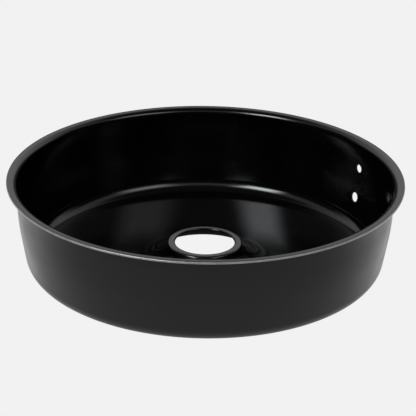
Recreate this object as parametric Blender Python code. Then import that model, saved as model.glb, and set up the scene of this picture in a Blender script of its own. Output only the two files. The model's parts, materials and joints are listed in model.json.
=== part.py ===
"""Round drain pan, pressed from one disc of thin coated steel sheet.

The sheet is followed from the middle outwards: a turned-down lip round the
drain hole, a flat land, a sloping flank, the flat floor, the base corner, a
wall that curves in towards its foot, the rim bend, a flat rim flange and the
hem folded back under it. That section is spun round the upright Z axis and
two fixing holes are then punched through the wall on the +X side.

The origin is the centre of the flat underside, with +Z up. Units are metres.
"""

import math

import bmesh
import bpy
from mathutils import Matrix, Vector

# Driving dimensions
SHEET = 0.0008                # thickness of the steel sheet with its coat
PAN_HEIGHT = 0.0707           # underside of the floor to the top of the rim
RIM_RADIUS = 0.150            # outermost edge of the hemmed rim
RIM_WIDTH = 0.00757           # outer face of the wall to the outermost edge
RIM_BEND_RADIUS = 0.0050      # top side of the bend between wall and flange
HEM_GAP = 0.0003              # clear space inside the folded hem
HEM_LENGTH = 0.0030           # how far the hem reaches back under the flange

WALL_TOP_LEAN = math.radians(0.8)     # the wall is almost upright under the rim
WALL_FOOT_LEAN = math.radians(9.4)    # and leans out from the base corner
WALL_TURN_BELOW_RIM = 0.029           # where the lines of the two leans cross
WALL_CURVE_RADIUS = 0.143             # long curve that joins the two leans
BASE_CORNER_RADIUS = 0.0128           # outer side of the corner round the base

COLLAR_HEIGHT = 0.0165        # underside of the floor to the top of the land
DRAIN_HOLE_RADIUS = 0.0229    # clear radius inside the collar's lip
LAND_WIDTH = 0.0052           # drain hole to the start of the flank
FLANK_SLOPE = math.radians(62)        # flank measured from the horizontal
LIP_DEPTH = 0.0014            # top of the land to the cut edge of the lip
LIP_BEND_RADIUS = 0.0012      # top side of the bend at the drain hole
LAND_BEND_RADIUS = 0.0018     # top side of the bend from land to flank
FLANK_FOOT_RADIUS = 0.0265    # top side of the wide hollow bend down to the floor

UPPER_HOLE_DIAMETER = 0.0065
LOWER_HOLE_DIAMETER = 0.0075
UPPER_HOLE_BELOW_RIM = 0.0221
LOWER_HOLE_BELOW_RIM = 0.0462

# Smoothness of the faceted solid
TURN_STEPS = 64
LIP_STEPS = 2
LAND_STEPS = 2
FOOT_STEPS = 6
CORNER_STEPS = 6
CURVE_STEPS = 4
RIM_STEPS = 4
HEM_STEPS = 2
HOLE_STEPS = 16
HOLE_CUTTER_LENGTH = 0.010

COAT_COLOUR = (0.012, 0.012, 0.013, 1.0)
COAT_ROUGHNESS = 0.28


def clear_scene():
    for item in list(bpy.data.objects):
        bpy.data.objects.remove(item, do_unlink=True)


def bend_setbacks(places, radii):
    """How far from each corner of the path its bend starts and ends.

    Where two bends need more than the leg between them, both are held back.
    """
    setbacks = [0.0] * len(places)
    for index in range(1, len(places) - 1):
        before, corner, after = places[index - 1:index + 2]
        turn = (corner - before).angle(after - corner)
        setbacks[index] = radii[index] * math.tan(turn / 2)
    shares = [1.0] * len(places)
    for index in range(len(places) - 1):
        leg = (places[index + 1] - places[index]).length
        share = leg / (setbacks[index] + setbacks[index + 1])
        shares[index] = min(shares[index], share)
        shares[index + 1] = min(shares[index + 1], share)
    return [setback * share for setback, share in zip(setbacks, shares)]


def bend(before, corner, after, setback, steps):
    """Arc of the sheet's middle surface that rounds one corner of its path.

    Returns pairs of a point and the direction of travel there.
    """
    way_in = (corner - before).normalized()
    way_out = (after - corner).normalized()
    turn = way_in.angle_signed(way_out)
    radius = setback / math.tan(abs(turn) / 2)
    start = corner - way_in * setback
    side = 1.0 if turn < 0 else -1.0
    to_centre = Vector((-way_in.y, way_in.x)) * side
    centre = start + to_centre * radius
    arc = []
    for step in range(steps + 1):
        rotation = Matrix.Rotation(-turn * step / steps, 2)
        arc.append((centre + rotation @ (start - centre), rotation @ way_in))
    return arc


def sheet_path():
    """Middle surface of the sheet, from the lip's cut edge to the hem's end."""
    half = SHEET / 2
    land_z = COLLAR_HEIGHT - half
    floor_z = half
    flange_z = PAN_HEIGHT - half
    hem_z = flange_z - SHEET - HEM_GAP
    lip_r = DRAIN_HOLE_RADIUS + half
    land_r = DRAIN_HOLE_RADIUS + LAND_WIDTH
    foot_r = land_r + (land_z - floor_z) / math.tan(FLANK_SLOPE)
    wall_r = RIM_RADIUS - RIM_WIDTH - half
    middle_z = PAN_HEIGHT - WALL_TURN_BELOW_RIM
    middle_r = wall_r - (flange_z - middle_z) * math.tan(WALL_TOP_LEAN)
    base_r = middle_r - (middle_z - floor_z) * math.tan(WALL_FOOT_LEAN)
    edge_r = RIM_RADIUS - half
    hem_bend = (SHEET + HEM_GAP) / 2

    corners = [
        (lip_r, COLLAR_HEIGHT - LIP_DEPTH, 0, 0),
        (lip_r, land_z, LIP_BEND_RADIUS - half, LIP_STEPS),
        (land_r, land_z, LAND_BEND_RADIUS - half, LAND_STEPS),
        (foot_r, floor_z, FLANK_FOOT_RADIUS + half, FOOT_STEPS),
        (base_r, floor_z, BASE_CORNER_RADIUS - half, CORNER_STEPS),
        (middle_r, middle_z, WALL_CURVE_RADIUS, CURVE_STEPS),
        (wall_r, flange_z, RIM_BEND_RADIUS - half, RIM_STEPS),
        (edge_r, flange_z, hem_bend, HEM_STEPS),
        (edge_r, hem_z, hem_bend, HEM_STEPS),
        (edge_r - HEM_LENGTH, hem_z, 0, 0),
    ]
    places = [Vector(corner[:2]) for corner in corners]
    setbacks = bend_setbacks(places, [corner[2] for corner in corners])
    path = [(places[0], (places[1] - places[0]).normalized())]
    for index in range(1, len(corners) - 1):
        before, corner, after = places[index - 1:index + 2]
        path += bend(before, corner, after, setbacks[index], corners[index][3])
    path.append((places[-1], (places[-1] - places[-2]).normalized()))
    return path


def sheet_section(path):
    """Closed outline of the sheet: along its top side and back underneath."""
    half = SHEET / 2
    top = [spot + Vector((-way.y, way.x)) * half for spot, way in path]
    underside = [spot - Vector((-way.y, way.x)) * half for spot, way in path]
    return drop_repeats(top + underside[::-1])


def drop_repeats(outline):
    kept = []
    for spot in outline:
        if not kept or (spot - kept[-1]).length > 1e-6:
            kept.append(spot)
    return kept


def turned_solid(name, outline):
    """Spin a closed outline in the XZ plane into a ring-shaped solid."""
    mesh = bpy.data.meshes.new(name)
    shape = bmesh.new()
    corners = [shape.verts.new((spot.x, 0, spot.y)) for spot in outline]
    edges = [shape.edges.new((corners[i - 1], corners[i])) for i in range(len(corners))]
    bmesh.ops.spin(shape, geom=corners + edges, cent=(0, 0, 0), axis=(0, 0, 1),
                   dvec=(0, 0, 0), angle=math.tau, steps=TURN_STEPS, use_merge=True)
    bmesh.ops.remove_doubles(shape, verts=shape.verts, dist=1e-6)
    bmesh.ops.recalc_face_normals(shape, faces=shape.faces)
    shape.to_mesh(mesh)
    shape.free()
    mesh.shade_smooth()
    mesh.set_sharp_from_angle(angle=math.radians(40))
    solid = bpy.data.objects.new(name, mesh)
    bpy.context.collection.objects.link(solid)
    return solid


def wall_spot(path, height):
    """Point of the wall's middle surface at a height, and its direction up."""
    outer = [pair for pair in path if pair[0].x > RIM_RADIUS / 2]
    for (low, way), (high, _) in zip(outer, outer[1:]):
        if low.y <= height <= high.y and high.y > low.y:
            share = (height - low.y) / (high.y - low.y)
            return low.lerp(high, share), (high - low).normalized()
    raise ValueError("the hole is not on the wall")


def punch_wall_hole(pan, name, path, diameter, below_rim):
    """Cut a round hole square through the wall on the +X side."""
    spot, way = wall_spot(path, PAN_HEIGHT - below_rim)
    bpy.ops.mesh.primitive_cylinder_add(
        vertices=HOLE_STEPS, radius=diameter / 2, depth=HOLE_CUTTER_LENGTH,
        location=(spot.x, 0, spot.y), rotation=(0, math.atan2(way.y, way.x), 0))
    cutter = bpy.context.object
    cutter.name = name
    cutter.hide_render = True
    cutter.display_type = 'WIRE'
    cut = pan.modifiers.new(name, 'BOOLEAN')
    cut.operation = 'DIFFERENCE'
    cut.solver = 'EXACT'
    cut.object = cutter


def black_coat():
    coat = bpy.data.materials.new("black_coat")
    coat.use_nodes = True
    shader = coat.node_tree.nodes["Principled BSDF"]
    shader.inputs["Base Color"].default_value = COAT_COLOUR
    shader.inputs["Roughness"].default_value = COAT_ROUGHNESS
    shader.inputs["Metallic"].default_value = 0.0
    return coat


def build():
    clear_scene()
    path = sheet_path()
    pan = turned_solid("pan_pressing", sheet_section(path))
    pan.data.materials.append(black_coat())
    punch_wall_hole(pan, "upper_hole_cutter", path, UPPER_HOLE_DIAMETER, UPPER_HOLE_BELOW_RIM)
    punch_wall_hole(pan, "lower_hole_cutter", path, LOWER_HOLE_DIAMETER, LOWER_HOLE_BELOW_RIM)


build()
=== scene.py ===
import json
import math

import bmesh
import bpy
from mathutils import Matrix, Vector


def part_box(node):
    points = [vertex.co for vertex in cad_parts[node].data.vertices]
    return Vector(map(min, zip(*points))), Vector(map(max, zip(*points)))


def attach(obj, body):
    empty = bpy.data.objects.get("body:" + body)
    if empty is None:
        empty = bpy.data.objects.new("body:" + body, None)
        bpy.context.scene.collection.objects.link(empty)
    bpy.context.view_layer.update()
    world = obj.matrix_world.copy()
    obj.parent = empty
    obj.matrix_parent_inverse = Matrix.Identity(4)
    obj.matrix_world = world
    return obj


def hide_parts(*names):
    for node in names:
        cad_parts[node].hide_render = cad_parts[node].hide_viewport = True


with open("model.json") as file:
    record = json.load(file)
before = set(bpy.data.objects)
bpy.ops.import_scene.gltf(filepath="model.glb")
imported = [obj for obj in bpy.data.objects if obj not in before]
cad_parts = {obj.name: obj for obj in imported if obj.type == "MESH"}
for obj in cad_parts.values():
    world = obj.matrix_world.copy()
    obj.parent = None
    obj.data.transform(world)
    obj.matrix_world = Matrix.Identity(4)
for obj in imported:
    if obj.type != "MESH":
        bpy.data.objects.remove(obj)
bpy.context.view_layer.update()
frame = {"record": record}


# ---------------------------------------------------------------------------
# The pressing. The real pan is one disc of thin steel, drawn into a dish in a
# press, with its middle pushed up into a collar round the drain hole. A ring
# at the hole is extruded outwards, corner by corner, as the sheet's middle.
# ---------------------------------------------------------------------------
low_corner, high_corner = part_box("pan_pressing")
rim_radius = (high_corner.x - low_corner.x) / 2
pan_height = high_corner.z - low_corner.z
land_mount = next(m for m in frame["record"]["mounts"] if m["name"] == "collar_land")
collar_height = land_mount["pos_m"][2]

sheet = 0.0008
half_sheet = sheet / 2
turn_steps = 288

# the collar, from the cut edge of its lip to the foot of its flank
drain_hole_radius = 0.0229
lip_depth = 0.0014
land_width = 0.0052
flank_slope = math.radians(62)
lip_radius = drain_hole_radius + half_sheet
land_height = collar_height - half_sheet
land_radius = drain_hole_radius + land_width
flank_foot_radius = land_radius + (land_height - half_sheet) / math.tan(flank_slope)

# the wall, upright under the rim and curving in to a leaning foot
rim_width = 0.00757
wall_turn_below_rim = 0.029
wall_top_lean = math.radians(0.8)
wall_foot_lean = math.radians(9.4)
wall_radius = rim_radius - rim_width - half_sheet
flange_height = pan_height - half_sheet
mid_height = pan_height - wall_turn_below_rim
mid_radius = wall_radius - (flange_height - mid_height) * math.tan(wall_top_lean)
base_radius = mid_radius - (mid_height - half_sheet) * math.tan(wall_foot_lean)

# the rim, a flange that falls a little outwards, with its hem folded under it
rim_fall = math.radians(3)
rim_bend = 0.0050 - half_sheet
rim_crease = flange_height + rim_bend * (1 / math.cos(rim_fall) - 1 + math.tan(rim_fall))
rim_clearance = 0.00001
fold_radius = rim_radius - half_sheet - rim_clearance
fold_height = rim_crease - (fold_radius - wall_radius) * math.tan(rim_fall)
hem_gap = 0.0003
hem_step = sheet + hem_gap
hem_length = 0.0030
hem_height = fold_height - hem_step

# the bends, each measured to the middle of the sheet
lip_bend = 0.0012 - half_sheet
land_bend = 0.0018 - half_sheet
flank_foot_bend = 0.0265 + half_sheet
base_bend = 0.0128 - half_sheet
wall_bend = 0.143

# each corner of the sheet: radius, height, bend radius and steps in the bend
section = [
    (lip_radius, collar_height - lip_depth, 0, 0),
    (lip_radius, land_height, lip_bend, 5),
    (land_radius, land_height, land_bend, 5),
    (flank_foot_radius, half_sheet, flank_foot_bend, 16),
    (base_radius, half_sheet, base_bend, 16),
    (mid_radius, mid_height, wall_bend, 14),
    (wall_radius, rim_crease, rim_bend, 8),
    (fold_radius, fold_height, hem_step / 2, 5),
    (fold_radius, hem_height, hem_step / 2, 5),
    (fold_radius - hem_length, hem_height + hem_length * math.tan(rim_fall), 0, 0),
]

bpy.ops.object.select_all(action='DESELECT')
bpy.ops.mesh.primitive_circle_add(vertices=turn_steps, radius=section[0][0],
                                  location=(0, 0, section[0][1]))
pan = bpy.context.object
pan.name = pan.data.name = "drawn_pan"
bpy.ops.object.transform_apply(location=True, rotation=False, scale=False)
bpy.ops.object.mode_set(mode='EDIT')
for (radius, height, _, _), (next_radius, next_height, _, _) in zip(section, section[1:]):
    widening = next_radius / radius
    bpy.ops.mesh.extrude_region_move(
        TRANSFORM_OT_translate={"value": (0, 0, next_height - height)})
    bpy.ops.transform.resize(value=(widening, widening, 1), center_override=(0, 0, 0))


# ---------------------------------------------------------------------------
# The bends. The press leaves every corner of the sheet round, tight at the
# lip and the hem, wide at the base. Each corner ring is picked by its place
# and bevelled to the arc of its bend.
# ---------------------------------------------------------------------------
def pick_ring(radius, height):
    """Select just the edges that run round the pan at a radius and height."""
    shape = bmesh.from_edit_mesh(pan.data)
    reach = 2e-5
    for edge in shape.edges:
        edge.select = all(abs(math.hypot(v.co.x, v.co.y) - radius) < reach
                          and abs(v.co.z - height) < reach for v in edge.verts)
    shape.select_flush_mode()
    bmesh.update_edit_mesh(pan.data)


# a hair less than the full bend, so that the two bends of the hem don't meet
bend_share = 0.999
bpy.ops.mesh.select_mode(type='EDGE')
for before, corner, after in zip(section, section[1:], section[2:]):
    spot = Vector(corner[:2])
    way_in, way_out = spot - Vector(before[:2]), Vector(after[:2]) - spot
    setback = bend_share * corner[2] * math.tan(way_in.angle(way_out) / 2)
    pick_ring(*corner[:2])
    bpy.ops.mesh.bevel(offset_type='OFFSET', offset=setback, segments=corner[3],
                       profile=0.5, affect='EDGES', clamp_overlap=False)

bpy.ops.mesh.select_all(action='SELECT')
bpy.ops.mesh.remove_doubles(threshold=1e-6)
bpy.ops.mesh.normals_make_consistent(inside=False)
bpy.ops.object.mode_set(mode='OBJECT')


# ---------------------------------------------------------------------------
# The coats. The steel is baked black: glossy on the side that holds the oil,
# satin underneath. The glossy side runs on over the rim to the outer edge of
# the hem, where handling has worn it down to the metal.
# ---------------------------------------------------------------------------
def new_coat(name):
    """A coat's material, its node tree, its shader and the place on the pan."""
    coat = bpy.data.materials.new(name)
    coat.use_nodes = True
    tree = coat.node_tree
    shader = tree.nodes["Principled BSDF"]
    shader.inputs["IOR"].default_value = 1.5
    return coat, tree, shader, tree.nodes.new("ShaderNodeTexCoord").outputs["Object"]


def noise(tree, place, scale, detail, roughness=0.5):
    """Noise over the pan, with its scale in turns per metre."""
    pattern = tree.nodes.new("ShaderNodeTexNoise")
    pattern.inputs["Scale"].default_value = scale
    pattern.inputs["Detail"].default_value = detail
    pattern.inputs["Roughness"].default_value = roughness
    tree.links.new(place, pattern.inputs["Vector"])
    return pattern.outputs["Fac"]


def ranged(tree, value, start, end, start_result, end_result, smooth=False):
    """Turn one range of a value into another, and hold it inside."""
    change = tree.nodes.new("ShaderNodeMapRange")
    change.interpolation_type = 'SMOOTHSTEP' if smooth else 'LINEAR'
    change.inputs["From Min"].default_value = start
    change.inputs["From Max"].default_value = end
    change.inputs["To Min"].default_value = start_result
    change.inputs["To Max"].default_value = end_result
    tree.links.new(value, change.inputs["Value"])
    return change.outputs["Result"]


def mixed(tree, kind, share, first, second):
    """Mix two colours or numbers, each a constant or another node's result."""
    mix = tree.nodes.new("ShaderNodeMix")
    mix.data_type = kind
    tree.links.new(share, mix.inputs["Factor"])
    for socket, value in (("A", first), ("B", second)):
        if isinstance(value, bpy.types.NodeSocket):
            tree.links.new(value, mix.inputs[socket])
        else:
            mix.inputs[socket].default_value = value
    return mix.outputs["Result"]


def roughened(tree, shader, height, strength, depth):
    """Give a shader's surface the relief of a height pattern."""
    bump = tree.nodes.new("ShaderNodeBump")
    bump.inputs["Strength"].default_value = strength
    bump.inputs["Distance"].default_value = depth
    tree.links.new(height, bump.inputs["Height"])
    tree.links.new(bump.outputs["Normal"], shader.inputs["Normal"])


def multiplied(tree, first, second):
    """One node's result times another's."""
    product = tree.nodes.new("ShaderNodeMath")
    product.operation = 'MULTIPLY'
    tree.links.new(first, product.inputs[0])
    tree.links.new(second, product.inputs[1])
    return product.outputs["Value"]


def from_axis(tree, place):
    """Distance of a place from the pan's upright axis."""
    level_place = tree.nodes.new("ShaderNodeVectorMath")
    level_place.operation = 'MULTIPLY'
    level_place.inputs[1].default_value = (1, 1, 0)
    tree.links.new(place, level_place.inputs[0])
    distance = tree.nodes.new("ShaderNodeVectorMath")
    distance.operation = 'LENGTH'
    tree.links.new(level_place.outputs["Vector"], distance.inputs[0])
    return distance.outputs["Value"]


glossy, tree, shader, place = new_coat("glossy_coat")

# orange peel of the baked coat
peel = noise(tree, place, 260, 4, 0.62)
roughened(tree, shader, peel, 0.4, 0.00003)

# near black, with paler specks of dust and burst bubbles
glossy_black = (0.0009, 0.0009, 0.0010, 1)
speck_grey = (0.012, 0.012, 0.013, 1)
speck_share = ranged(tree, noise(tree, place, 620, 2), 0.62, 0.76, 0, 0.7)
coat_colour = mixed(tree, 'RGBA', speck_share, glossy_black, speck_grey)

# duller and shinier patches
coat_roughness = ranged(tree, noise(tree, place, 38, 3), 0.3, 0.7, 0.11, 0.17)

# the worn edge of the hem, found by its distance from the axis
worn_steel = (0.48, 0.475, 0.465, 1)
wear_start, wear_end = rim_radius - 0.00062, rim_radius - 0.00030
edge_share = ranged(tree, from_axis(tree, place), wear_start, wear_end, 0, 1, smooth=True)
rubbed_share = ranged(tree, noise(tree, place, 150, 5), 0.3, 0.55, 0.7, 1)
wear = multiplied(tree, edge_share, rubbed_share)
tree.links.new(mixed(tree, 'RGBA', wear, coat_colour, worn_steel), shader.inputs["Base Color"])
tree.links.new(mixed(tree, 'FLOAT', wear, coat_roughness, 0.5), shader.inputs["Roughness"])
tree.links.new(wear, shader.inputs["Metallic"])

# the satin side, a fine sandy grain with duller and shinier patches
satin, tree, shader, place = new_coat("satin_coat")
shader.inputs["Specular IOR Level"].default_value = 0.42
satin_dark = (0.0045, 0.0045, 0.0048, 1)
satin_pale = (0.0085, 0.0085, 0.0088, 1)
grain = noise(tree, place, 900, 5, 0.7)
roughened(tree, shader, grain, 0.4, 0.00003)
tree.links.new(mixed(tree, 'RGBA', grain, satin_dark, satin_pale), shader.inputs["Base Color"])
satin_roughness = ranged(tree, noise(tree, place, 45, 4), 0.3, 0.7, 0.27, 0.36)
tree.links.new(satin_roughness, shader.inputs["Roughness"])

# the sheet gets its thickness, half to each side, and a coat on each
pan.data.materials.append(glossy)
pan.data.materials.append(satin)
thickness = pan.modifiers.new("sheet", 'SOLIDIFY')
thickness.thickness = sheet
thickness.offset = 0
thickness.use_even_offset = True
thickness.material_offset = 1
bpy.ops.object.modifier_apply(modifier=thickness.name)


# ---------------------------------------------------------------------------
# The fixing holes. Two round holes are punched square through the wall, one
# above the other, for a bracket that isn't fitted. A cylinder punches each
# one and is then thrown away.
# ---------------------------------------------------------------------------
def wall_spot(height):
    """Radius of the wall at a height, and its lean, short of its long curve."""
    if height > mid_height:
        return wall_radius - (flange_height - height) * math.tan(wall_top_lean), wall_top_lean
    return mid_radius - (mid_height - height) * math.tan(wall_foot_lean), wall_foot_lean


# name, diameter and drop below the rim
holes = [("upper", 0.0065, 0.0221), ("lower", 0.0075, 0.0462)]
punch_length = 0.010
for hole, diameter, below_rim in holes:
    height = pan_height - below_rim
    radius, lean = wall_spot(height)
    bpy.ops.object.select_all(action='DESELECT')
    bpy.ops.mesh.primitive_cylinder_add(
        vertices=56, radius=diameter / 2, depth=punch_length,
        location=(radius, 0, height), rotation=(0, math.pi / 2 - lean, 0))
    punch = bpy.context.object
    cut = pan.modifiers.new(hole, 'BOOLEAN')
    cut.operation = 'DIFFERENCE'
    cut.solver = 'EXACT'
    cut.object = punch
    bpy.context.view_layer.objects.active = pan
    bpy.ops.object.modifier_apply(modifier=hole)
    bpy.data.objects.remove(punch, do_unlink=True)

bpy.ops.object.select_all(action='DESELECT')
pan.select_set(True)
bpy.context.view_layer.objects.active = pan
bpy.ops.object.shade_smooth_by_angle(angle=math.radians(35))

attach(pan, "root")
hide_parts("pan_pressing")


# ---------------------------------------------------------------------------
# The table that the pan stands on: plain, pale and glowing as if lit from below, so that it
# looks evenly bright all round and through the drain hole. What the coats
# mirror of it carries painted light and shade: a painted shadow under the pan, and painted light
# on the pan's far side.
# ---------------------------------------------------------------------------
white = 0.885
table_glow = 0.5
painted_shadow_glow = 0.02
# how far round from the pan's front the camera stands, to its left
view_azimuth = math.radians(-30.3)

bpy.ops.object.select_all(action='DESELECT')
bpy.ops.mesh.primitive_plane_add(size=24, location=(0, 0, -half_sheet))
table = bpy.context.object
table.name = "table"
glowing_table = bpy.data.materials.new("glowing_table")
glowing_table.use_nodes = True
tree = glowing_table.node_tree
tree.nodes.clear()
place = tree.nodes.new("ShaderNodeTexCoord").outputs["Object"]
# painted shadow: the glow that the coats mirror is dimmed to a dark disc under the pan, standing
# in for the pan's shade on the table
glow_with_painted_shadow = ranged(tree, from_axis(tree, place), base_radius - 0.035, base_radius - 0.010,
                   painted_shadow_glow, table_glow, smooth=True)
facing = tree.nodes.new("ShaderNodeMapping")
facing.inputs["Rotation"].default_value = (0, 0, -view_azimuth)
tree.links.new(place, facing.inputs["Vector"])
parts = tree.nodes.new("ShaderNodeSeparateXYZ")
tree.links.new(facing.outputs["Vector"], parts.inputs["Vector"])
# painted light: the glow that the coats mirror is made brighter on the pan's far side, standing
# in for light falling on the table there
painted_far_light_gain = ranged(tree, parts.outputs["Y"], -0.13, 0.02, 1.0, 2.1, smooth=True)
ray = tree.nodes.new("ShaderNodeLightPath")
glow = tree.nodes.new("ShaderNodeEmission")
reflected_painted_glow = multiplied(tree, glow_with_painted_shadow, painted_far_light_gain)
# camera rays see the even white table; all other rays see the glow with its painted shadow and
# painted light
tree.links.new(mixed(tree, 'FLOAT', ray.outputs["Is Camera Ray"], reflected_painted_glow, white),
               glow.inputs["Strength"])
output = tree.nodes.new("ShaderNodeOutputMaterial")
tree.links.new(glow.outputs["Emission"], output.inputs["Surface"])
table.data.materials.append(glowing_table)


# ---------------------------------------------------------------------------
# The camera, a long lens well back from the pan and above it, to the left of
# the pan's front. It is level but for a slight roll.
# ---------------------------------------------------------------------------
rim_centre = Vector((0, 0, pan_height))
view_elevation = math.radians(23.0)
view_distance = 9 * rim_radius
view_roll = 0.0151
to_camera = Vector((math.sin(view_azimuth) * math.cos(view_elevation),
                    -math.cos(view_azimuth) * math.cos(view_elevation),
                    math.sin(view_elevation)))
to_right = Vector((math.cos(view_azimuth), math.sin(view_azimuth), 0))
aim_drop, aim_right = 0.0265, 0.0021
aim = rim_centre - Vector((0, 0, aim_drop)) + to_right * aim_right
eye = rim_centre + to_camera * view_distance

lens = bpy.data.cameras.new("camera")
lens.sensor_width = 36
lens.lens = 154.7
camera = bpy.data.objects.new("camera", lens)
bpy.context.scene.collection.objects.link(camera)
camera.location = eye
looking = (aim - eye).to_track_quat('-Z', 'Y').to_matrix()
camera.rotation_euler = (looking @ Matrix.Rotation(view_roll, 3, 'Z')).to_euler()
bpy.context.scene.camera = camera


# ---------------------------------------------------------------------------
# The studio light: a bright wall behind the pan, a dim front that is brighter
# halfway up, and two soft boxes, to the left and the right of the camera.
# ---------------------------------------------------------------------------
studio = bpy.data.worlds.new("studio")
bpy.context.scene.world = studio
studio.use_nodes = True
tree = studio.node_tree
tree.nodes.clear()
facing = tree.nodes.new("ShaderNodeMapping")
facing.inputs["Rotation"].default_value = (0, 0, -view_azimuth)
tree.links.new(tree.nodes.new("ShaderNodeTexCoord").outputs["Generated"], facing.inputs["Vector"])
parts = tree.nodes.new("ShaderNodeSeparateXYZ")
tree.links.new(facing.outputs["Vector"], parts.inputs["Vector"])
ramp_strength = 10


def light_ramp(name, steps):
    """A ramp of light level by elevation: pairs of degrees and level."""
    ramp = tree.nodes.new("ShaderNodeValToRGB")
    ramp.name = name
    stops = ramp.color_ramp.elements
    for degrees, level in steps[1:-1]:
        stops.new(math.sin(math.radians(degrees)))
    for stop, (degrees, level) in zip(stops, steps):
        stop.position = math.sin(math.radians(degrees))
        stop.color = (level / ramp_strength, level / ramp_strength, level / ramp_strength, 1)
    tree.links.new(parts.outputs["Z"], ramp.inputs["Fac"])
    return ramp.outputs["Color"]


behind = light_ramp("wall behind", [(0, 0.05), (12, 0.08), (19, 0.7), (26, 0.85), (40, 0.8),
                                    (60, 0.3), (90, 0.05)])
ahead = light_ramp("dim front", [(0, 0.02), (34, 0.03), (40, 0.45), (50, 0.45), (58, 0.05),
                                 (90, 0.05)])
back_share = ranged(tree, parts.outputs["Y"], 0.1, 0.5, 0, 1, smooth=True)
all_round = tree.nodes.new("ShaderNodeBackground")
all_round.inputs["Strength"].default_value = ramp_strength
tree.links.new(mixed(tree, 'RGBA', back_share, ahead, behind), all_round.inputs["Color"])
seen = tree.nodes.new("ShaderNodeBackground")
seen.inputs["Color"].default_value = (white, white, white, 1)
ray = tree.nodes.new("ShaderNodeLightPath")
choice = tree.nodes.new("ShaderNodeMixShader")
tree.links.new(ray.outputs["Is Camera Ray"], choice.inputs["Fac"])
tree.links.new(all_round.outputs["Background"], choice.inputs[1])
tree.links.new(seen.outputs["Background"], choice.inputs[2])
output = tree.nodes.new("ShaderNodeOutputWorld")
tree.links.new(choice.outputs["Shader"], output.inputs["Surface"])


# each layer of a soft box: its share of the box's size and of its level
box_layers = [(1.0, 0.2), (0.78, 0.4), (0.5, 0.4)]
# the boxes stand two metres off, with a little room between their layers
box_distance = 2.0
box_layer_gap = 0.02


def soft_box(name, side_turn, elevation, width, height, level, tint):
    """A soft box aimed at the pan, brightest in its middle."""
    azimuth = view_azimuth + side_turn
    direction = Vector((math.sin(azimuth) * math.cos(elevation),
                        -math.cos(azimuth) * math.cos(elevation), math.sin(elevation)))
    for layer, (size_share, level_share) in enumerate(box_layers):
        away = box_distance + box_layer_gap * layer
        lamp = bpy.data.lights.new(name, 'AREA')
        lamp.shape = 'RECTANGLE'
        lamp.size = 2 * away * math.tan(size_share * width / 2)
        lamp.size_y = 2 * away * math.tan(size_share * height / 2)
        lamp.energy = level_share * level * math.pi * lamp.size * lamp.size_y
        lamp.color = tint
        box = bpy.data.objects.new(name, lamp)
        bpy.context.scene.collection.objects.link(box)
        box.location = direction * away
        box.rotation_euler = direction.to_track_quat('Z', 'Y').to_euler()


soft_box("left_soft_box", math.radians(-45), math.radians(45.5),
         math.radians(26), math.radians(25), 13.0, (0.93, 0.97, 1.0))
soft_box("right_soft_box", math.radians(48), math.radians(45.5),
         math.radians(36), math.radians(25), 2.4, (1.0, 1.0, 0.98))

bpy.context.scene.view_settings.view_transform = 'Standard'
